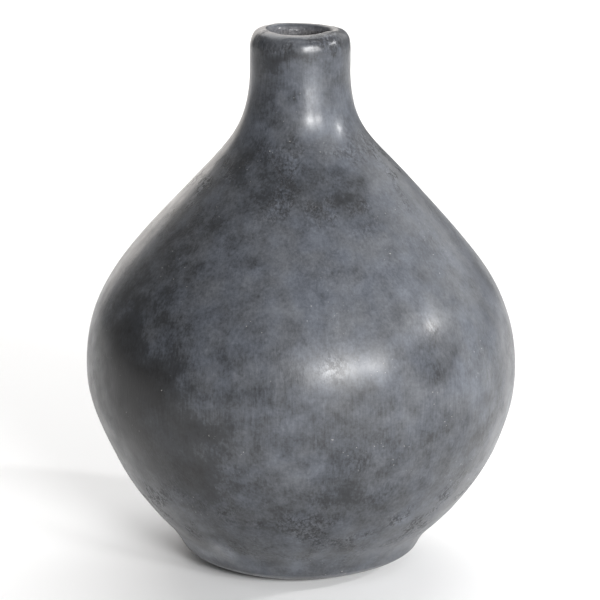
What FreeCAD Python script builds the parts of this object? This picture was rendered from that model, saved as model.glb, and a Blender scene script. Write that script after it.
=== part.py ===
"""A burnished pottery vase: a round belly on a low foot, drawn in to a short neck with a thick rolled lip.

The vase is made the way a hand builder makes it. Six sections of clay are shaped apart, and are luted to one
another with slip along bevelled joints while they are leather hard:

  foot_ring    the ring that the vase stands on, wider than the floor above it
  base_slab    the floor, a thick disc with a bevelled edge, set on the foot ring
  lower_body   the bowl, from the crease above the foot to just under the widest line
  upper_body   the belly and shoulder, from there up to the root of the neck
  neck         the collar, sitting in the shoulder like a plug in its seat
  lip          the rolled coil that closes the neck

Each section is one solid, a wall profile turned about Z. Neighbours meet face to face on their joint, with no
gap and no overlap. Millimetres, +Z up, origin at the centre of the foot's resting face.
"""

import FreeCAD
import Part

import os

# Driving dimensions
HEIGHT = 251.0          # resting face to the crest of the lip
RECESS_DEPTH = 5.0      # hollow under the floor, inside the foot ring
FLOOR_HEIGHT = 14.0     # top of the floor, inside the vase
FOOT_REST_INNER = 30.0  # the flat ring that touches the table
FOOT_REST_OUTER = 36.0
RECESS_RADIUS = 27.0
SLAB_RADIUS = 46.0      # underside of the floor slab, and inner end of the foot joint
FLOOR_RADIUS = 43.0     # top of the floor slab, where the wall rises from it
LIP_CREST_RADIUS = 16.0
LIP_OUTER_DROP = 8.0    # how far the lip's rounding comes down outside
LIP_INNER_DROP = 4.5    # and inside
MOUTH_RADIUS = 13.7     # narrowest place, just under the lip's inner rounding

# The crease, where the body meets the foot
CREASE = (58.3, 13.0)
FOOT_HANDLES = [(45.5, 2.0), (56.3, 6.8)]  # pull the foot's rounded side out between rest and crease

# The outside of the body from above the crease to the lip: radius, height, and the wall's thickness there
STATIONS = [
    (69.3, 25.0, 9.2),
    (84.2, 45.0, 8.6),
    (93.7, 65.0, 8.2),
    (98.4, 80.0, 8.0),
    (99.7, 95.0, 8.0),
    (98.2, 110.0, 8.0),
    (91.2, 130.0, 8.0),
    (77.4, 150.0, 8.0),
    (60.0, 170.0, 8.2),
    (42.8, 189.0, 8.6),
    (31.8, 202.0, 9.0),
    (25.4, 215.0, 9.2),
    (23.1, 229.0, 9.2),
]
LIP_START = (23.05, HEIGHT - LIP_OUTER_DROP)
BODY_START_SLOPE = (0.90, 1.0)  # direction in which the wall leaves the crease outside: out, up
FLOOR_SLOPE = (1.0, 0.30)       # direction in which it leaves the floor inside
STRAIGHT_UP = (0.0, 1.0)        # and in which both sides of it reach the lip
CREASE_WALL = 9.8               # the wall's thickness at the crease

# Joints: the height at which each shows outside, and how far it falls towards the inside of the wall
BELLY_JOINT = (80.0, 5.0)
NECK_JOINT = (197.0, 12.0)
LIP_JOINT = (240.0, 4.0)
JOINT_REACH = 12.0    # horizontal distance over which that fall is measured
OUTSIDE = 130.0       # a radius clear of the whole vase
MARGIN = 1.0          # how far the regions that cut the profile run past its top and bottom
QUARTER_ARC = 0.5523  # a cubic curve's handle, as a share of the radius, for a quarter ellipse
FULL_ROUND = (0.62, 0.74)  # its two handles, up and across, for the lip's fuller outer shoulder

AXIS_POINT = FreeCAD.Vector(0, 0, 0)
AXIS = FreeCAD.Vector(0, 0, 1)


def point(radius, height):
    """A point of the profile, which is drawn in the XZ half plane."""
    return FreeCAD.Vector(radius, 0, height)


def line(a, b):
    """A straight edge of the profile."""
    return Part.LineSegment(point(*a), point(*b)).toShape()


def cubic(*poles):
    """One cubic curve from the first pole to the last, pulled by the two handles between."""
    curve = Part.BezierCurve()
    curve.setPoles([point(*p) for p in poles])
    return curve.toShape()


def quarter_round(side, crest, handles=(QUARTER_ARC, QUARTER_ARC)):
    """A rounded corner, by default a quarter ellipse: upright where it leaves side, level at the crest."""
    lift = handles[0] * (crest[1] - side[1])
    reach = handles[1] * (side[0] - crest[0])
    return cubic(side, (side[0], side[1] + lift), (crest[0] + reach, crest[1]), crest)


def spline(points, start_direction, end_direction):
    """A smooth curve through every point, with the given directions at its ends."""
    curve = Part.BSplineCurve()
    curve.interpolate(
        Points=[point(*p) for p in points],
        InitialTangent=point(*start_direction),
        FinalTangent=point(*end_direction),
    )
    return curve


def outside_curve():
    """The outside of the vase from the crease up to where the lip begins to round over."""
    points = [CREASE] + [(r, z) for r, z, _ in STATIONS] + [LIP_START]
    return spline(points, BODY_START_SLOPE, STRAIGHT_UP)


def inside_curve(outside):
    """The inside of the wall: each station set in by its wall's thickness, from the floor up to the mouth."""
    points = [(FLOOR_RADIUS, FLOOR_HEIGHT)]
    for r, z, wall in [(*CREASE, CREASE_WALL)] + STATIONS:
        tangent = outside.tangent(outside.parameter(point(r, z)))[0]
        points.append((r - wall * tangent.z, z + wall * tangent.x))
    points.append((MOUTH_RADIUS, HEIGHT - LIP_INNER_DROP))
    return spline(points, FLOOR_SLOPE, STRAIGHT_UP)


def wall_profile(outside, inside):
    """The whole vase cut through on one side: foot, floor, wall and lip as one flat face."""
    crest = (LIP_CREST_RADIUS, HEIGHT)
    edges = [
        line((0.0, RECESS_DEPTH), (RECESS_RADIUS, RECESS_DEPTH)),
        line((RECESS_RADIUS, RECESS_DEPTH), (RECESS_RADIUS, RECESS_DEPTH / 2)),
        quarter_round((RECESS_RADIUS, RECESS_DEPTH / 2), (FOOT_REST_INNER, 0.0)),
        line((FOOT_REST_INNER, 0.0), (FOOT_REST_OUTER, 0.0)),
        cubic((FOOT_REST_OUTER, 0.0), *FOOT_HANDLES, CREASE),
        outside.toShape(),
        quarter_round(LIP_START, crest, FULL_ROUND),
        quarter_round((MOUTH_RADIUS, HEIGHT - LIP_INNER_DROP), crest),
        inside.toShape(),
        line((FLOOR_RADIUS, FLOOR_HEIGHT), (0.0, FLOOR_HEIGHT)),
        line((0.0, FLOOR_HEIGHT), (0.0, RECESS_DEPTH)),
    ]
    return Part.Face(Part.Wire(Part.__sortEdges__(edges)))


def joint_line(outside, height, fall):
    """A bevelled joint across the wall, and on to the axis and to clear air outside."""
    level = Part.LineSegment(point(0.0, height), point(OUTSIDE, height))
    radius = outside.intersect(level)[0].X
    inner = (radius - JOINT_REACH, height - fall)
    return [(0.0, height - fall), inner, (radius, height), (OUTSIDE, height)]


def region(lower, upper):
    """The flat region between two lines that both run from the axis to clear air outside."""
    outline = lower + upper[::-1]
    corners = [point(*p) for p in outline + outline[:1]]
    return Part.Face(Part.makePolygon(corners))


def turned(face, name):
    """The section of clay that a flat piece of the profile sweeps in one turn about Z."""
    flat = face.Faces
    if len(flat) != 1:
        raise ValueError(f"{name}: the profile fell into {len(flat)} pieces")
    solid = flat[0].revolve(AXIS_POINT, AXIS, 360)
    if solid.Volume < 0:
        solid.reverse()
    return solid


def build():
    """Every section of the vase by name. The profile is cut along the joints, and each piece is turned."""
    outside = outside_curve()
    inside = inside_curve(outside)
    profile = wall_profile(outside, inside)

    under = [(0.0, -MARGIN), (OUTSIDE, -MARGIN)]
    foot_joint = [(0.0, RECESS_DEPTH), (SLAB_RADIUS, RECESS_DEPTH), CREASE, (OUTSIDE, CREASE[1])]
    belly_joint = joint_line(outside, *BELLY_JOINT)
    neck_joint = joint_line(outside, *NECK_JOINT)
    lip_joint = joint_line(outside, *LIP_JOINT)
    over = [(0.0, HEIGHT + MARGIN), (OUTSIDE, HEIGHT + MARGIN)]
    slab = region(
        [(0.0, RECESS_DEPTH), (SLAB_RADIUS, RECESS_DEPTH)],
        [(0.0, FLOOR_HEIGHT), (FLOOR_RADIUS, FLOOR_HEIGHT)],
    )

    flats = {
        "foot_ring": profile.common(region(under, foot_joint)),
        "base_slab": profile.common(slab),
        "lower_body": profile.common(region(foot_joint, belly_joint)).cut(slab),
        "upper_body": profile.common(region(belly_joint, neck_joint)),
        "neck": profile.common(region(neck_joint, lip_joint)),
        "lip": profile.common(region(lip_joint, over)),
    }
    return {name: turned(face, name) for name, face in flats.items()}


def main():
    """Write one STEP file for each section, and print what was made."""
    os.makedirs("parts", exist_ok=True)
    sections = build()
    for name, solid in sections.items():
        solid.exportStep(f"parts/{name}.step")
    volume = sum(s.Volume for s in sections.values())
    widest = max(s.BoundBox.XMax for s in sections.values())
    print(f"{len(sections)} sections, {volume / 1000:.0f} cm3 of clay")
    print(f"{2 * widest:.1f} mm across, {HEIGHT:.0f} mm tall")
    for name, solid in sections.items():
        box = solid.BoundBox
        amount = f"{solid.Volume / 1000:.1f} cm3"
        print(f"  {name}: valid {solid.isValid()}, {amount}, z {box.ZMin:.2f} to {box.ZMax:.2f}")


if __name__ == "__main__":
    main()
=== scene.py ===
"""The looks of a hand-built, burnished and smoke-fired clay vase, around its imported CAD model.

Each CAD section is stood for by a hand-worked piece. Its outline is read from the CAD section and turned on
a fine grid. One field of lumps, stroke facets and nicks moves every grid, so that neighbours still meet.
Lengths are metres. A place on the vase is a bearing and a height: the bearing is in degrees, 0 at the front
on -Y and growing towards +X, and the height is above the surface that the vase stands on.
"""

import itertools
import math

import bpy
import numpy as np
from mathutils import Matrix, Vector


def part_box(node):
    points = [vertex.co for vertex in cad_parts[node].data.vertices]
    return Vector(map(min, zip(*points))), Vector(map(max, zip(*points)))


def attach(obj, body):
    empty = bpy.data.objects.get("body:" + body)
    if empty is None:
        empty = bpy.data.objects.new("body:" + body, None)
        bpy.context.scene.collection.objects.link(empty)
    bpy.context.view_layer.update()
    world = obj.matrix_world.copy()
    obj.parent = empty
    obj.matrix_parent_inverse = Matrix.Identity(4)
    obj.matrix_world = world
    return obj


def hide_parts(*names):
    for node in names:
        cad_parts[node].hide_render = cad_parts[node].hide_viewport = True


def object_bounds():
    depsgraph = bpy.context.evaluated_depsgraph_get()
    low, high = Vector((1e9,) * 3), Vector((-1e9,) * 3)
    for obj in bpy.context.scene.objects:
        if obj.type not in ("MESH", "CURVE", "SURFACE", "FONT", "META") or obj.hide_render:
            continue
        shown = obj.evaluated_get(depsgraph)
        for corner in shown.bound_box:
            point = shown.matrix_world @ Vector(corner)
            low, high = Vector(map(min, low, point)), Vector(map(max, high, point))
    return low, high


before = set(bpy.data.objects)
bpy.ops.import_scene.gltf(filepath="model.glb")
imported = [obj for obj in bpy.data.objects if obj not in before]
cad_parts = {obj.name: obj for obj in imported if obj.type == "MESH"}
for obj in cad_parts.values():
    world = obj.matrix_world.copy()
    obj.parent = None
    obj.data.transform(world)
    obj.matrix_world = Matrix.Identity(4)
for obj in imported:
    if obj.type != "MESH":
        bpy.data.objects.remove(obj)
CAD_LOW, CAD_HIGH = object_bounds()

MM = 0.001
HEIGHT = CAD_HIGH.z
CREASE_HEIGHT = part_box("foot_ring")[1].z

# CAD node, the piece that stands for it, and the finish that it takes
PIECES = [
    ("foot_ring", "clay_foot_ring", "burnished_clay"),
    ("base_slab", "clay_base_slab", "raw_clay"),
    ("lower_body", "clay_lower_body", "burnished_clay"),
    ("upper_body", "clay_upper_body", "burnished_clay"),
    ("neck", "clay_neck", "burnished_clay"),
    ("lip", "clay_lip", "burnished_clay"),
]

# The grid that each piece is turned on: points round the axis, and steps along its outline, out and inside
TURN_STEPS = 512
STEPS = {
    "foot_ring": (0.8 * MM, 0.8 * MM),
    "base_slab": (3.0 * MM, 3.0 * MM),
    "lower_body": (1.1 * MM, 3.5 * MM),
    "upper_body": (1.1 * MM, 3.5 * MM),
    "neck": (0.7 * MM, 1.4 * MM),
    "lip": (0.4 * MM, 0.4 * MM),
}
CORNER = math.radians(25)   # a sharper turn than this ends a smooth stretch of the outline
CREASE_REACH = 5.0 * MM     # the crease above the foot is smoothed over this far to each side
SHARP = math.radians(40)    # an edge that turns more than this is shaded as an edge
TINY = 1e-6
SLIVER = 0.05 * MM          # outline points closer than this to the one before are left out


# ---------------------------------------------------------------- outlines from the CAD sections

def cad_chain(node):
    """The corner-to-corner section of a CAD node in the XZ half plane: (radius, height), anticlockwise."""
    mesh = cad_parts[node].data
    place = {
        v.index: (round(v.co.x, 6), round(v.co.z, 6))
        for v in mesh.vertices
        if abs(v.co.y) < TINY and v.co.x > TINY
    }
    links = {}
    for edge in mesh.edges:
        a, b = (place.get(i) for i in edge.vertices)
        if a and b and a != b:
            links.setdefault(a, set()).add(b)
            links.setdefault(b, set()).add(a)
    open_ends = sorted(p for p, near in links.items() if len(near) == 1)
    chain = [min(open_ends or links)]
    while True:
        ahead = sorted(links[chain[-1]] - set(chain))
        if not ahead:
            break
        chain.append(ahead[0])
    if open_ends:  # a disc reaches the axis
        chain = [(0.0, chain[0][1])] + chain + [(0.0, chain[-1][1])]
    chain = np.array([p for i, p in enumerate(chain) if math.dist(p, chain[i - 1]) > SLIVER])
    following = np.roll(chain, -1, axis=0)
    area = np.sum(chain[:, 0] * following[:, 1] - following[:, 0] * chain[:, 1])
    return chain[::-1] if area < 0 else chain


def is_corner(before, here, after):
    """True where the outline turns more sharply than a smooth stretch does."""
    into, out = here - before, after - here
    cosine = np.dot(into, out) / (np.linalg.norm(into) * np.linalg.norm(out))
    return cosine < math.cos(CORNER)


def corners_of(chain):
    """The sharp corners of an outline, and its ends on the axis."""
    following = np.roll(chain, -1, axis=0)
    before = np.roll(chain, 1, axis=0)
    return [
        tuple(here) for here, b, f in zip(chain, before, following)
        if here[0] < TINY or is_corner(b, here, f)
    ]


def with_corners(chain, corners):
    """The outline with every one of these corners that lies on it as a point of its own."""
    points = []
    for here, after in zip(chain, np.roll(chain, -1, axis=0)):
        points.append(tuple(here))
        length = math.dist(here, after)
        between = [
            c for c in corners
            if math.dist(here, c) > TINY and math.dist(c, after) > TINY
            and math.dist(here, c) + math.dist(c, after) - length < TINY / 10
        ]
        points += sorted(between, key=lambda c: math.dist(here, c))
    return points


def stretches(points, corners):
    """The outline cut at the corners into stretches, each an array of points, in order."""
    count = len(points)
    cuts = [i for i in range(count) if points[i] in corners]
    found = []
    for start, stop in zip(cuts, cuts[1:] + [cuts[0] + count]):
        stretch = np.array([points[i % count] for i in range(start, stop + 1)])
        if stretch[:, 0].max() > TINY:  # the axis itself is no surface
            found.append(stretch)
    return found


def is_joint(stretch, node, outlines):
    """True if a stretch is the straight face where this section is luted to a neighbour."""
    start, end = stretch[0], stretch[-1]
    steps = np.linalg.norm(np.diff(stretch, axis=0), axis=1).sum()
    if steps - math.dist(start, end) > TINY:
        return False
    return any({tuple(start), tuple(end)} <= set(outlines[n]) for n in outlines if n != node)


def resampled(points, step):
    """Points an even step apart on the smooth curve through the given ones."""
    along = np.r_[0, np.cumsum(np.linalg.norm(np.diff(points, axis=0), axis=1))]
    slope = np.gradient(points, along, axis=0, edge_order=min(2, len(points) - 1))
    count = max(3, round(along[-1] / step) + 1)
    at = np.linspace(0, along[-1], count)
    left = np.clip(np.searchsorted(along, at, side="right") - 1, 0, len(along) - 2)
    gap = (along[left + 1] - along[left])[:, None]
    t = (at - along[left])[:, None] / gap
    return (
        (2 * t**3 - 3 * t**2 + 1) * points[left]
        + (t**3 - 2 * t**2 + t) * gap * slope[left]
        + (3 * t**2 - 2 * t**3) * points[left + 1]
        + (t**3 - t**2) * gap * slope[left + 1]
    )


def smooth_crease(line, crease):
    """Rounds the corner in a line at the given row, over the crease's reach to each side."""
    corner = line[crease].copy()
    away = np.linalg.norm(line - corner, axis=1)
    side = np.sign(np.arange(len(line)) - crease)
    low = line[np.flatnonzero((side < 0) & (away > CREASE_REACH))[-1]]
    high = line[np.flatnonzero((side > 0) & (away > CREASE_REACH))[0]]
    for i in np.flatnonzero((away < CREASE_REACH) & (abs(np.arange(len(line)) - crease) < 30)):
        t = 0.5 + 0.5 * side[i] * away[i] / CREASE_REACH
        line[i] = (1 - t) ** 2 * low + 2 * t * (1 - t) * corner + t**2 * high


class Skin:
    """The whole surface that shows, as one line: under the foot, up, over the lip and down inside."""

    def __init__(self):
        chains = {node: cad_chain(node) for node, _, _ in PIECES}
        self.outlines = {}  # node: its stretches in order, each (start corner, end corner, does it show)
        shown = {}
        corners = {corner for chain in chains.values() for corner in corners_of(chain)}
        points_of = {node: with_corners(chain, corners) for node, chain in chains.items()}
        for node in chains:
            self.outlines[node] = []
            for points in stretches(points_of[node], corners):
                start, end = tuple(points[0]), tuple(points[-1])
                shows = not is_joint(points, node, points_of)
                self.outlines[node].append((start, end, shows))
                if shows:
                    climbs = end[1] > start[1] + TINY  # the line climbs outside, and comes down inside
                    shown[start] = (end, resampled(points, STEPS[node][0 if climbs else 1]))
        self.join_up(shown)
        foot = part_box("foot_ring")[1]
        smooth_crease(self.line, self.row[min(self.row, key=lambda p: math.dist(p, (foot.x, foot.z)))])
        slope = np.gradient(self.line, axis=0)
        slope /= np.linalg.norm(slope, axis=1)[:, None]
        self.normal = np.stack([slope[:, 1], -slope[:, 0]], axis=1)
        self.run = np.r_[0, np.cumsum(np.linalg.norm(np.diff(self.line, axis=0), axis=1))]

    def join_up(self, shown):
        """Puts the stretches that show end to end. row tells which point of the line a corner has become."""
        ends = {end for end, _ in shown.values()}
        corner = next(start for start in shown if start not in ends)
        self.row = {corner: 0}
        line = [np.array([corner])]
        while corner in shown:
            corner, points = shown.pop(corner)
            line.append(points[1:])
            self.row[corner] = sum(map(len, line)) - 1
        self.line = np.concatenate(line)


# ---------------------------------------------------------------- where the maker's hand shows, and where light and shade are painted

# How far the wall's axis wanders sideways as it climbs: the share of the height, and mm towards +X
WANDER = [
    (0.0, 0.2), (0.05, 0.0), (0.12, 1.2), (0.22, 1.7), (0.34, 0.6),
    (0.48, 0.1), (0.62, 0.3), (0.76, 0.9), (0.86, 0.2), (1.0, 0.1),
]
# The wall's broad lumps: their size, how far they move it, and their seed
LUMPS = [(85 * MM, 0.45 * MM, 1), (38 * MM, 0.20 * MM, 5)]

# The facets that strokes leave: how many round the vase, their length, depth (mm) and seed
BODY_STROKES = [(84, 38 * MM, 0.050, 11), (40, 60 * MM, 0.10, 12)]
NECK_STROKES = [(34, 16 * MM, 0.060, 13)]

# Bearing and height, reach each way (degrees and mm), and how far (mm) the wall swells or sinks there
SWELLS = [
    (14, 222, 24, 9, 0.6),                                                      # the front of the neck
    (-120, 150, 22, 18, 0.5), (160, 100, 24, 20, -0.5), (100, 60, 18, 12, 0.4),  # the back and sides
]

# Bearing (degrees), height, width and depth (mm) of the larger knocks
NICKS = [
    (31, 44, 2.2, 0.35), (14, 184, 0.9, 0.25), (18, 97, 1.3, 0.25),
    (-70, 60, 2.5, 0.3), (150, 70, 3.0, 0.35),
]

# The lip was never fully smoothed at the front: bearings of its groove, the facet under it, the ridge over it
GROOVE_BEARING = 12
FACET_BEARING = 11
RIDGE_BEARING = -9
# Bearing, reach (degrees) and lift (mm) of the places where the rim stands higher
RIM_LIFTS = [(48, 26, 0.9), (-95, 45, 0.7)]

# Bearing, height, and reach each way (degrees and mm) of places that the burnishing stone missed
PITS = [
    (-13, 248, 6, 2), (45, 247, 14, 3), (-35, 245, 18, 3),
    (15, 76, 3, 4), (9, 119, 3, 4), (40, 130, 2, 3),
]
PITS_ANYWHERE = 0.18   # how strongly pits show away from the foot, the shoulder and the lip

# Placed paler and darker patches, partly fire clouds and partly painted light and shade: bearing (degrees),
# height (mm), reach each way (degrees and mm), and how much paler or darker
CLOUDS_AND_PAINTED_LIGHT = [
    # round the foot and the bowl: a painted light band along the crease above the foot, and painted shade
    # down the left of the bowl over its clouds
    (10, 17, 60, 4, 0.15), (-42, 15, 24, 3.5, 0.80), (-50, 24, 40, 5, -0.25), (0, 62, 70, 34, -0.20),
    (-35, 63, 7, 8, -0.25), (-5, 62, 7, 9, 0.20), (-3, 76, 9, 11, 0.22), (-62, 78, 16, 20, -0.45),
    (50, 82, 14, 12, -0.20), (-50, 88, 18, 34, -0.60), (-25, 87, 7, 8, -0.30),
    # the belly: painted shade down its left over its clouds, a painted glow round the front highlight, and
    # painted light on the right
    (-38, 95, 12, 30, -0.22), (-56, 118, 15, 26, -0.75), (-16, 118, 10, 14, 0.15), (58, 132, 22, 40, 0.35),
    (0, 133, 14, 10, 0.15), (6, 145, 3, 3, -0.35), (12, 151, 20, 22, 0.22), (-17, 158, 3, 3, -0.35),
    (-50, 168, 16, 14, -0.30),
    # the shoulder: its dark band, and a painted highlight at the right of the neck's root
    (22, 185, 14, 8, -0.40), (-10, 187, 12, 7, -0.35), (70, 190, 16, 10, 0.15), (-40, 195, 18, 7, -0.45),
    (34, 208, 16, 12, 0.25), (-40, 208, 20, 7, 0.15),
    # the neck and the lip: a painted highlight on the front of the neck
    (15, 222, 16, 14, 0.25), (-14, 222, 12, 12, 0.28), (-44, 228, 16, 10, -0.15), (-42, 240, 14, 5, -0.40),
    (-12, 244, 36, 3, -0.40),
    # the back and sides, which are invented
    (120, 110, 26, 26, -0.35), (160, 185, 30, 10, -0.30), (-130, 150, 28, 24, 0.25),
    (-170, 80, 24, 20, -0.35), (-120, 70, 18, 20, -0.25), (95, 160, 18, 20, 0.20),
    (180, 130, 20, 20, 0.25), (140, 225, 40, 12, -0.25),
]
SEEDED_CLOUDS = 0.36   # how strongly the random clouds between them show


# ---------------------------------------------------------------- fields over the surface

HASH = (73856093, 19349663, 83492791)
GRADIENTS = np.random.default_rng(7).normal(size=(256, 3))
GRADIENTS /= np.linalg.norm(GRADIENTS, axis=1)[:, None]


def noise(cells, seed=0):
    """Smooth random values, mostly within -1 to 1, for points that are given in cells of the pattern."""
    base = np.floor(cells).astype(np.int64)
    inside = cells - base
    fade = inside**3 * (inside * (inside * 6 - 15) + 10)
    total = np.zeros(cells.shape[:-1])
    for corner in itertools.product((0, 1), repeat=3):
        key = base + corner
        mixed = (key[..., 0] * HASH[0]) ^ (key[..., 1] * HASH[1]) ^ (key[..., 2] * HASH[2]) ^ (seed * 40503)
        mixed ^= mixed >> 13
        gradient = GRADIENTS[(mixed * 31) & 255]
        weight = np.prod(np.where(corner, fade, 1 - fade), axis=-1)
        total += weight * np.sum(gradient * (inside - corner), axis=-1)
    return 1.6 * total


def soft(value, low, high):
    """0 below low, 1 above high, and a smooth rise between."""
    t = np.clip((value - low) / (high - low), 0, 1)
    return t * t * (3 - 2 * t)


def near(value, centre, reach):
    """1 at the centre, falling smoothly to 0 about two reaches away."""
    return np.exp(-(((value - centre) / reach) ** 2))


def turned_from(bearing, centre):
    """Degrees from the centre bearing, between -180 and 180."""
    return (bearing - centre + 180) % 360 - 180


class Surface:
    """The skin turned about the axis, moved by hand, with its colour fields, which include painted light and
    shade.
    """

    def __init__(self, skin):
        angle = np.linspace(0, 360, TURN_STEPS, endpoint=False)
        self.bearing = np.broadcast_to(angle, (len(skin.line), TURN_STEPS))
        self.radius = np.broadcast_to(skin.line[:, :1], self.bearing.shape)
        self.height = np.broadcast_to(skin.line[:, 1:], self.bearing.shape)
        self.run = np.broadcast_to(skin.run[:, None], self.bearing.shape)
        self.crest_run = skin.run[np.argmax(skin.line[:, 1])]
        self.outside = soft(self.crest_run + 2.0 * MM - self.run, 0, 2.0 * MM)
        turn = np.radians(self.bearing)
        self.out = np.stack([np.sin(turn), -np.cos(turn), 0 * turn], axis=-1)
        self.still = self.out * self.radius[..., None]
        self.still[..., 2] = self.height
        up = np.array([0, 0, 1.0])
        self.normal = self.out * skin.normal[:, :1, None] + up * skin.normal[:, 1:, None]
        self.worked = self.still + broad_shape(self.still) + self.normal * self.handwork()[..., None]
        self.worked += up * self.lip_rise()[..., None]
        np.maximum(self.worked[..., 2], 0, out=self.worked[..., 2])
        self.facing = self.shading_normals()
        self.tone = self.tones()
        self.pitted = self.pits()
        self.bare = self.unburnished()

    def shading_normals(self):
        """The direction that the worked surface faces at each point, so that sections shade as one."""
        around = np.roll(self.worked, -1, axis=1) - np.roll(self.worked, 1, axis=1)
        along = np.gradient(self.worked, axis=0)
        facing = np.cross(around, along)
        length = np.linalg.norm(facing, axis=-1, keepdims=True)
        return np.where(length > TINY * TINY, facing / np.maximum(length, TINY * TINY), self.normal)

    def strokes(self, around, length, seed):
        """Noise drawn out up the wall, as a burnishing stone leaves it: how many around, and how long."""
        ring = around / (2 * math.pi)
        turn = np.radians(self.bearing)
        cells = np.stack([ring * np.cos(turn), ring * np.sin(turn), self.run / length], axis=-1)
        return noise(cells, seed)

    def ring_noise(self, degrees, seed):
        """Noise that changes with the bearing alone. It closes if its cells divide the turn evenly."""
        flat = 0 * self.bearing
        return noise(np.stack([self.bearing / degrees, flat, flat], -1), seed)

    def patch(self, bearing, wide, height, tall):
        """A soft oval patch: 1 at its middle."""
        return near(turned_from(self.bearing, bearing), 0, wide) * near(self.height, height, tall)

    def handwork(self):
        """How far the surface stands out along its normal."""
        low_wall = soft(self.height, CREASE_HEIGHT, 3 * CREASE_HEIGHT)
        on_neck = soft(self.height, 0.74 * HEIGHT, 0.86 * HEIGHT)
        body, neck = (
            sum(self.strokes(around, length, seed) * depth for around, length, depth, seed in table)
            for table in (BODY_STROKES, NECK_STROKES)
        )
        stone = body * (1 - on_neck) * low_wall + neck * on_neck
        stone = stone + self.foot_roll()
        for bearing, height, wide, tall, swell in SWELLS:
            stone = stone + swell * self.patch(bearing, wide, height * MM, tall * MM)
        return MM * (stone * self.outside + self.lip_work() + self.nicks())

    def foot_roll(self):
        """The foot stands out as a soft roll under a thumbed hollow."""
        uneven = 1 + 0.35 * self.strokes(7, 60 * MM, 14)
        hollow = -0.40 * near(self.height, CREASE_HEIGHT + 5.0 * MM, 4.5 * MM)
        roll = 0.65 * near(self.height, CREASE_HEIGHT - 5.0 * MM, 4.0 * MM)
        return (hollow + roll) * uneven

    def lip_work(self):
        """A groove round the front of the lip, a pressed facet under it, a ridge over it, and small lumps."""
        span = soft(-abs(turned_from(self.bearing, GROOVE_BEARING)), -36, -22)
        wander = 0.25 * MM * self.ring_noise(9, 21)
        groove_height = HEIGHT - 1.55 * MM + wander
        groove = -0.15 * near(self.height, groove_height, 0.5 * MM) * span
        facet_span = soft(-abs(turned_from(self.bearing, FACET_BEARING)), -17, -10)
        facet = 0.15 * soft(self.height, HEIGHT - 5.5 * MM, HEIGHT - 3.0 * MM)
        facet *= 1 - soft(self.height, HEIGHT - 2.8 * MM, HEIGHT - 1.5 * MM)
        ridge_span = soft(-abs(turned_from(self.bearing, RIDGE_BEARING)), -16, -7)
        ridge = 0.25 * near(self.height, HEIGHT - 0.6 * MM, 0.5 * MM) * ridge_span
        on_lip = soft(self.height, HEIGHT - 12 * MM, HEIGHT - 4 * MM)
        lumps = 0.22 * noise(self.still / (7 * MM), 22) * on_lip
        return (groove + facet * facet_span + ridge) * self.outside + lumps

    def lip_rise(self):
        """How far the rim is pulled up or pressed down from its even height."""
        on_lip = soft(self.height, HEIGHT - 5 * MM, HEIGHT - 0.5 * MM)
        lift = 0.25 * self.ring_noise(40, 31)
        for bearing, reach, most in RIM_LIFTS:
            lift = lift + most * near(turned_from(self.bearing, bearing), 0, reach)
        return MM * on_lip * lift

    def nicks(self):
        """Small knocks in the fired surface."""
        depth = 0
        for bearing, height, wide, deep in NICKS:
            across = np.radians(turned_from(self.bearing, bearing)) * self.radius / (wide * MM)
            along = (self.height - height * MM) / (wide * MM)
            depth = depth - deep * np.exp(-(across**2) - along**2)
        return depth * self.outside

    def tones(self):
        """How pale the surface is painted: above 0 paler, below 0 darker. Seeded clouds, and outside the
        placed patches, which are partly fire clouds and partly painted light and shade.
        """
        cloud = 0.55 * noise(self.still / (30 * MM), 41) + 0.35 * noise(self.still / (13 * MM), 42)
        cloud = cloud + 0.30 * noise(self.still / (6 * MM), 43)
        warp = 9 * noise(self.still / (22 * MM), 44) + 5 * noise(self.still / (9 * MM), 45)
        lift = MM * (7 * noise(self.still / (24 * MM), 46) + 4 * noise(self.still / (10 * MM), 47))
        clouds_and_painted_light = 0 * cloud
        # The placed patches paint shade down the left, glow round the highlights and a light band above the
        # foot, over the fire clouds
        for bearing, height, wide, tall, change in CLOUDS_AND_PAINTED_LIGHT:
            across = turned_from(self.bearing + warp, bearing) / wide
            along = (self.height + lift - height * MM) / (tall * MM)
            clouds_and_painted_light = clouds_and_painted_light + change * np.exp(-(across**2) - along**2)
        return SEEDED_CLOUDS * cloud + np.where(self.outside > 0, clouds_and_painted_light, 0)

    def pits(self):
        """Where the stone missed and left pits, from 0 to 1: above the foot, on the shoulder and the lip."""
        patches = noise(self.still / (15 * MM), 51) + 0.5 * noise(self.still / (6 * MM), 53)
        patches = soft(patches, -0.15, 0.45)
        foot = near(self.height, 3.0 * CREASE_HEIGHT, 1.1 * CREASE_HEIGHT)
        shoulder = 1.1 * near(self.height, 0.75 * HEIGHT, 0.06 * HEIGHT)
        rim = soft(self.height, HEIGHT - 12 * MM, HEIGHT - 6 * MM)
        pitted = patches * np.clip(foot + shoulder + rim + PITS_ANYWHERE, 0, 1)
        for bearing, height, wide, tall in PITS:
            pitted = pitted + self.patch(bearing, wide, height * MM, tall * MM)
        return np.clip(pitted, 0, 1) * self.outside

    def unburnished(self):
        """1 where the clay was never rubbed: all the inside, the resting ring and the recess."""
        inner = soft(self.run, self.crest_run + 1.0 * MM, self.crest_run + 4.0 * MM)
        rest = soft(-self.height, -2.0 * MM, -0.5 * MM)
        recess = soft(-self.radius, -30 * MM, -28 * MM) * (self.height < 8 * MM)
        return np.clip(inner + rest + recess, 0, 1)


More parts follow.
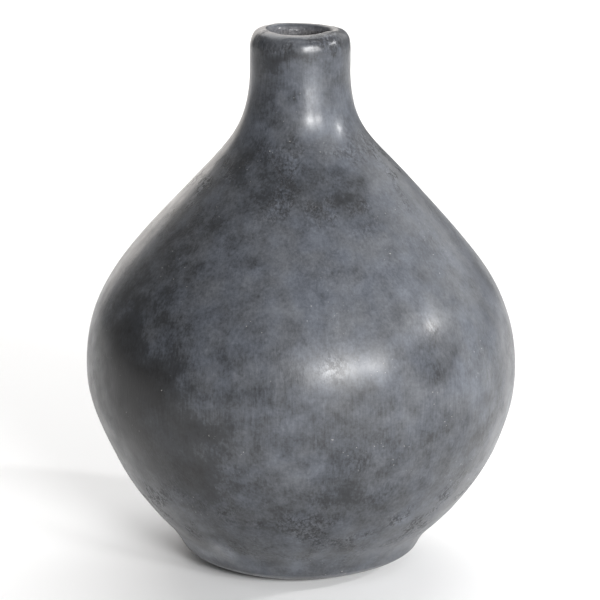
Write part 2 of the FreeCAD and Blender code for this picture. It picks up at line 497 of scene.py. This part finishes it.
def broad_shape(points):
    """The large unevenness of a hand-built wall: how far each point moves, whatever surface it is on."""
    level = points[..., 2] / HEIGHT
    levels, shifts = np.array(WANDER).T
    moved = MM * np.stack([np.interp(level, levels, shifts), 0 * level, 0 * level], axis=-1)
    standing = soft(level, 0.0, 0.06)[..., None]
    for size, amount, seed in LUMPS:
        field = [noise(points / size, seed + axis) for axis in range(3)]
        moved = moved + amount * standing * np.stack(field, axis=-1)
    return moved


# ---------------------------------------------------------------- pieces

ALL_BARE = 0.99   # faces barer than this take the raw clay, as joint faces do


def piece_rows(node, skin):
    """The rings of a piece, in order round its outline.

    Each is (row of the skin or None, corner, whether a joint face lies between it and the next ring).
    """
    rings = []
    for start, end, shows in skin.outlines[node]:
        if shows:
            rings += [(row, None, False) for row in range(skin.row[start], skin.row[end])]
        else:
            rings.append((skin.row.get(start), start, True))
    last = skin.outlines[node][-1][1]
    if last[0] < TINY:  # it ends on the axis, and doesn't come round to its start
        rings.append((skin.row[last], None, False))
    return rings


def ring_points(row, corner, surface):
    """The points of one ring: a full turn, or a single point on the axis."""
    if row is not None:
        points = surface.worked[row]
        return points if surface.radius[row][0] > TINY else points.mean(axis=0)[None]
    still = surface.out[0] * corner[0]
    still[:, 2] = corner[1]
    return still + broad_shape(still)


def ring_normals(row, ring, surface):
    """The shading normals of one ring. A hidden corner has none, and keeps the mesh's own."""
    if row is None:
        return np.zeros((len(ring), 3))
    return surface.facing[row] if len(ring) > 1 else surface.normal[row][:1]


def ring_faces(first, second, first_at, second_at):
    """Faces between two neighbouring rings, which start at these places in the list of vertices."""
    step = np.arange(TURN_STEPS)
    ahead = (step + 1) % TURN_STEPS
    if len(first) == 1:
        return np.stack([0 * step + first_at, second_at + ahead, second_at + step], axis=1)
    if len(second) == 1:
        return np.stack([first_at + step, first_at + ahead, 0 * step + second_at], axis=1)
    return np.stack([first_at + step, first_at + ahead, second_at + ahead, second_at + step], axis=1)


def make_piece(node, name, skin, surface, materials):
    """The worked piece for one CAD section. Its materials are for its finished and its unfinished faces."""
    plan = piece_rows(node, skin)
    rings = [ring_points(row, corner, surface) for row, corner, _ in plan]
    starts = np.r_[0, np.cumsum([len(ring) for ring in rings])]
    gaps = len(rings) if len(rings[-1]) > 1 else len(rings) - 1
    faces, unfinished = [], []
    for i in range(gaps):
        j = (i + 1) % len(rings)
        made = ring_faces(rings[i], rings[j], starts[i], starts[j])
        faces += made.tolist()
        bare = min(surface_values(surface.bare, plan[k][0], rings[k]).min() for k in (i, j))
        unfinished += [plan[i][2] or bare > ALL_BARE] * len(made)
    mesh = bpy.data.meshes.new(name)
    mesh.from_pydata(np.concatenate(rings).tolist(), [], faces)
    for material in materials:
        mesh.materials.append(material)
    mesh.polygons.foreach_set("material_index", np.array(unfinished, np.int32))
    mesh.shade_smooth()
    mesh.set_sharp_from_angle(angle=SHARP)
    normals = [ring_normals(row, ring, surface) for (row, _, _), ring in zip(plan, rings)]
    mesh.normals_split_custom_set_from_vertices(np.concatenate(normals).tolist())
    for field in ("tone", "pitted", "bare"):
        grid = getattr(surface, field)
        values = [surface_values(grid, row, ring) for (row, _, _), ring in zip(plan, rings)]
        attribute = mesh.attributes.new(field, "FLOAT", "POINT")
        attribute.data.foreach_set("value", np.concatenate(values).astype(np.float32))
    piece = bpy.data.objects.new(name, mesh)
    bpy.context.scene.collection.objects.link(piece)
    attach(piece, "root")
    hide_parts(node)
    return piece


def surface_values(field, row, ring):
    """A colour field along one ring. On a hidden corner it is 1."""
    if row is None:
        return np.ones(len(ring))
    return field[row] if len(ring) > 1 else field[row][:1]


# ---------------------------------------------------------------- materials

# The clay from its darkest to its palest, which carries both its smoke clouds and the painted light and
# shade, a brownish cast, and its pits and grains
CLAY_TONES = [
    (0.00, (0.006, 0.006, 0.007)),
    (0.30, (0.021, 0.023, 0.027)),
    (0.55, (0.063, 0.069, 0.082)),
    (0.80, (0.106, 0.115, 0.133)),
    (1.00, (0.170, 0.182, 0.205)),
]
WARM_TINT = (1.0, 0.97, 0.92)
PIT_COLOUR = (0.012, 0.012, 0.014)
SPECK_COLOUR = (0.45, 0.44, 0.42)
RAW_TONES = [
    (0.30, (0.040, 0.040, 0.044)),
    (0.52, (0.090, 0.090, 0.098)),
    (0.66, (0.150, 0.150, 0.156)),
    (0.76, (0.340, 0.335, 0.325)),
]

# What a grain, a stroke and a pit measure across, and how deep each is
MOTTLE = 9 * MM
GRAIN = 1.6 * MM
STROKE = 1.0 * MM
STREAK, STREAK_DEPTH = 0.55 * MM, 0.034 * MM
RIPPLE, RIPPLE_DEPTH = 2.6 * MM, 0.03 * MM
PIT, PIT_DEPTH = 1.7 * MM, 0.07 * MM
SPECK = 0.9 * MM
GRIT, GRIT_DEPTH = 0.8 * MM, 0.15 * MM
RAW_GRAIN = 1.1 * MM

# The burnished surface: from its smoothest to its roughest, what a pit adds, and where it was never rubbed
SHEEN = (0.34, 0.46)
PIT_ROUGHER = 0.25
BARE_ROUGHNESS = 0.85
CLAY_IOR = 1.40
COAT_WEIGHT, COAT_ROUGHNESS = 0.30, 0.22   # the thin polished skin


class Nodes:
    """Shorthand for building one material's node tree."""

    def __init__(self, name):
        self.material = bpy.data.materials.new(name)
        self.material.use_nodes = True
        self.tree = self.material.node_tree
        self.shader = self.tree.nodes["Principled BSDF"]
        self.place = self.add("ShaderNodeTexCoord").outputs["Object"]

    def add(self, kind, **settings):
        node = self.tree.nodes.new(kind)
        for key, value in settings.items():
            setattr(node, key, value)
        return node

    def put(self, socket, value):
        """Sets a socket, or links an output to it."""
        if isinstance(value, bpy.types.NodeSocket):
            self.tree.links.new(value, socket)
        else:
            socket.default_value = value

    def math(self, operation, *values):
        node = self.add("ShaderNodeMath", operation=operation)
        for socket, value in zip(node.inputs, values):
            self.put(socket, value)
        return node.outputs[0]

    def attribute(self, name):
        return self.add("ShaderNodeAttribute", attribute_name=name).outputs["Fac"]

    def noise(self, size, detail=2.0, roughness=0.5, stretch=(1, 1, 1)):
        """A noise texture over the piece, whose features are about this size. Its value is from 0 to 1."""
        scaled = self.add("ShaderNodeVectorMath", operation="MULTIPLY")
        self.put(scaled.inputs[0], self.place)
        self.put(scaled.inputs[1], tuple(1 / (size * s) for s in stretch))
        texture = self.add("ShaderNodeTexNoise", noise_dimensions="3D")
        self.put(texture.inputs["Vector"], scaled.outputs[0])
        self.put(texture.inputs["Scale"], 1.0)
        self.put(texture.inputs["Detail"], detail)
        self.put(texture.inputs["Roughness"], roughness)
        return texture.outputs["Fac"]

    def ramp(self, value, low, high, out_low=0.0, out_high=1.0):
        """Maps a range smoothly on to another, and stops at its ends."""
        node = self.add("ShaderNodeMapRange", interpolation_type="SMOOTHSTEP")
        for socket, number in zip(node.inputs, (value, low, high, out_low, out_high)):
            self.put(socket, number)
        return node.outputs[0]

    def colours(self, value, stops):
        """A colour ramp from (place, colour) stops."""
        node = self.add("ShaderNodeValToRGB")
        ramp = node.color_ramp
        while len(ramp.elements) < len(stops):
            ramp.elements.new(0.5)
        for element, (place, colour) in zip(ramp.elements, stops):
            element.position = place
            element.color = (*colour, 1)
        self.put(node.inputs[0], value)
        return node.outputs[0]

    def mix(self, share, first, second, blend="MIX"):
        node = self.add("ShaderNodeMix", data_type="RGBA", blend_type=blend)
        self.put(node.inputs[0], share)
        for socket, value in zip((node.inputs[6], node.inputs[7]), (first, second)):
            self.put(socket, (*value, 1) if isinstance(value, tuple) else value)
        return node.outputs[2]

    def bump(self, heights):
        """Adds up reliefs, each (value from 0 to 1, depth in metres), and gives them to the shader."""
        normal = None
        for value, depth in heights:
            node = self.add("ShaderNodeBump")
            self.put(node.inputs["Strength"], 1.0)
            self.put(node.inputs["Distance"], depth)
            self.put(node.inputs["Height"], value)
            if normal is not None:
                self.put(node.inputs["Normal"], normal)
            normal = node.outputs["Normal"]
        self.put(self.shader.inputs["Normal"], normal)


def burnished_clay():
    """Smoke-blackened clay rubbed to a low gloss: cloudy, with painted light and shade in its tone, streaked,
    and pitted where the stone missed.
    """
    n = Nodes("burnished_clay")
    tone, pitted, bare = (n.attribute(name) for name in ("tone", "pitted", "bare"))
    mottle = n.math("SUBTRACT", n.noise(MOTTLE, 6.0, 0.68), 0.5)
    grain = n.math("SUBTRACT", n.noise(GRAIN, 3.0, 0.7), 0.5)
    # The tone brings the fire clouds and the painted light and shade: painted shade down the left, painted
    # highlight glow on the front and the neck, a painted light band above the foot
    value = n.math("MULTIPLY_ADD", tone, 0.5, 0.5)
    value = n.math("MULTIPLY_ADD", mottle, 0.66, value)
    value = n.math("MULTIPLY_ADD", grain, 0.36, value)
    stroke = n.math("SUBTRACT", n.noise(STROKE, 2.0, 0.6, stretch=(1, 1, 9)), 0.5)
    value = n.math("MULTIPLY_ADD", stroke, n.math("MULTIPLY_ADD", pitted, 0.45, 0.24), value)
    pit_noise = n.noise(PIT, 4.0, 0.72, stretch=(1, 1, 1.6))
    pit = n.math("MULTIPLY", n.ramp(pit_noise, 0.43, 0.54, 1.0, 0.0), pitted)
    colour = n.colours(value, CLAY_TONES)
    tint = n.ramp(n.noise(14 * MM, 2.0), 0.35, 0.65)
    colour = n.mix(tint, colour, WARM_TINT, "MULTIPLY")
    colour = n.mix(n.math("MULTIPLY", pit, 0.7), colour, PIT_COLOUR)
    speckled = n.ramp(n.noise(21 * MM), 0.56, 0.66)
    speck = n.math("MULTIPLY", n.ramp(n.noise(SPECK, 0.0), 0.80, 0.84), speckled)
    colour = n.mix(n.math("MULTIPLY", speck, 0.5), colour, SPECK_COLOUR)
    raw = n.colours(n.noise(RAW_GRAIN, 3.0, 0.7), RAW_TONES)
    colour = n.mix(bare, colour, raw)
    n.put(n.shader.inputs["Base Color"], colour)

    streak = n.noise(STREAK, 1.0, 0.5, stretch=(1, 1, 14))
    rough = n.ramp(n.noise(11 * MM, 3.0, 0.6), 0.25, 0.75, *SHEEN)
    rough = n.math("MULTIPLY_ADD", pit, PIT_ROUGHER, rough)
    rough = n.math("MAXIMUM", rough, n.math("MULTIPLY", bare, BARE_ROUGHNESS))
    n.put(n.shader.inputs["Roughness"], rough)
    n.put(n.shader.inputs["IOR"], CLAY_IOR)
    n.put(n.shader.inputs["Coat Weight"], COAT_WEIGHT)
    n.put(n.shader.inputs["Coat Roughness"], COAT_ROUGHNESS)
    n.put(n.shader.inputs["Coat IOR"], CLAY_IOR)
    n.bump([
        (streak, STREAK_DEPTH),
        (n.noise(RIPPLE, 2.0, 0.5, stretch=(1, 1, 5)), RIPPLE_DEPTH),
        (n.math("MULTIPLY", n.ramp(pit_noise, 0.40, 0.55), pitted), PIT_DEPTH),
        (n.math("MULTIPLY", n.noise(GRIT, 3.0, 0.7), bare), GRIT_DEPTH),
    ])
    return n.material


def raw_clay():
    """The same clay, smoked but never burnished: matt, gritty, with small pale grains."""
    n = Nodes("raw_clay")
    colour = n.colours(n.noise(RAW_GRAIN, 3.0, 0.7), RAW_TONES)
    cloud = n.ramp(n.noise(16 * MM, 3.0), 0.35, 0.65)
    n.put(n.shader.inputs["Base Color"], n.mix(cloud, colour, WARM_TINT, "MULTIPLY"))
    n.put(n.shader.inputs["Roughness"], n.ramp(n.noise(2 * MM), 0.3, 0.7, 0.78, 0.92))
    n.bump([(n.noise(GRIT, 3.0, 0.7), GRIT_DEPTH)])
    return n.material


# ---------------------------------------------------------------- studio

AIM_HEIGHT = 0.493 * HEIGHT
CAMERA_DISTANCE = 5.68 * HEIGHT
CAMERA_PITCH = 15.5       # degrees above level
LENS = 184.2              # mm, on a sensor 36 mm wide
FLOOR_SIZE = 40 * HEIGHT
FLOOR_COLOUR = (0.87, 0.87, 0.87, 1)

# Soft lights: name, bearing and elevation in degrees, distance, width, height (m), radiance, colour
LIGHTS = [
    ("window", 18, 17, 1.6, 0.42, 0.19, 84, (1.0, 1.0, 1.0)),
    ("window_side", 38, 17, 1.6, 0.28, 0.15, 84, (1.0, 1.0, 1.0)),
    ("lamp", 84, 26, 1.6, 0.12, 0.12, 190, (1.0, 1.0, 1.0)),
    ("front_wall", 16, 18, 2.0, 1.0, 0.6, 3.2, (1.0, 1.0, 1.0)),
    ("left_wall", -164, 20, 1.8, 1.2, 1.5, 1.8, (1.0, 0.95, 0.90)),
    ("right_wall", 138, 30, 1.8, 1.3, 1.3, 1.1, (1.0, 1.0, 1.0)),
    ("ceiling", 180, 60, 2.6, 3.0, 2.2, 2.6, (1.0, 1.0, 1.0)),
]
SURROUNDINGS = 0.20   # how bright everything beyond the panels is


def on_sphere(bearing, elevation, distance):
    """A point seen from the middle of the vase at this bearing and elevation, in degrees."""
    turn, rise = math.radians(bearing), math.radians(elevation)
    level = distance * math.cos(rise)
    up = AIM_HEIGHT + distance * math.sin(rise)
    return Vector((level * math.sin(turn), -level * math.cos(turn), up))


def aimed(name, data, place):
    """A camera or light at a place, facing the middle of the vase."""
    thing = bpy.data.objects.new(name, data)
    bpy.context.scene.collection.objects.link(thing)
    thing.location = place
    thing.rotation_mode = "QUATERNION"
    thing.rotation_quaternion = (Vector((0, 0, AIM_HEIGHT)) - place).to_track_quat("-Z", "Y")
    return thing


def make_camera():
    """The photograph's view: a little above the vase, from the front, through a long lens."""
    data = bpy.data.cameras.new("camera")
    data.sensor_width = 36
    data.lens = LENS
    data.clip_end = 2 * FLOOR_SIZE
    bpy.context.scene.camera = aimed("camera", data, on_sphere(0, CAMERA_PITCH, CAMERA_DISTANCE))


def make_lights():
    """Soft panels round the vase, in an even, dim surrounding."""
    for name, bearing, elevation, distance, width, height, radiance, colour in LIGHTS:
        data = bpy.data.lights.new(name, "AREA")
        data.shape = "RECTANGLE"
        data.size, data.size_y = width, height
        data.energy = radiance * math.pi * width * height
        data.color = colour
        light = aimed(name, data, on_sphere(bearing, elevation, distance))
        light.visible_camera = False
    world = bpy.data.worlds.new("surroundings")
    world.use_nodes = True
    world.node_tree.nodes["Background"].inputs["Color"].default_value = (1, 1, 1, 1)
    world.node_tree.nodes["Background"].inputs["Strength"].default_value = SURROUNDINGS
    bpy.context.scene.world = world
    bpy.context.scene.view_settings.view_transform = "Standard"


def make_floor():
    """A plain pale floor."""
    half = FLOOR_SIZE / 2
    mesh = bpy.data.meshes.new("floor")
    corners = [(-half, -half, 0), (half, -half, 0), (half, half, 0), (-half, half, 0)]
    mesh.from_pydata(corners, [], [(0, 1, 2, 3)])
    material = bpy.data.materials.new("pale_floor")
    material.use_nodes = True
    shader = material.node_tree.nodes["Principled BSDF"]
    shader.inputs["Base Color"].default_value = FLOOR_COLOUR
    shader.inputs["Roughness"].default_value = 0.9
    mesh.materials.append(material)
    floor = bpy.data.objects.new("floor", mesh)
    bpy.context.scene.collection.objects.link(floor)


def main():
    make_camera()
    make_lights()
    make_floor()
    skin = Skin()
    surface = Surface(skin)
    burnished, raw = burnished_clay(), raw_clay()
    for node, name, slot in PIECES:
        materials = (raw, raw) if slot == "raw_clay" else (burnished, raw)
        make_piece(node, name, skin, surface, materials)


main()
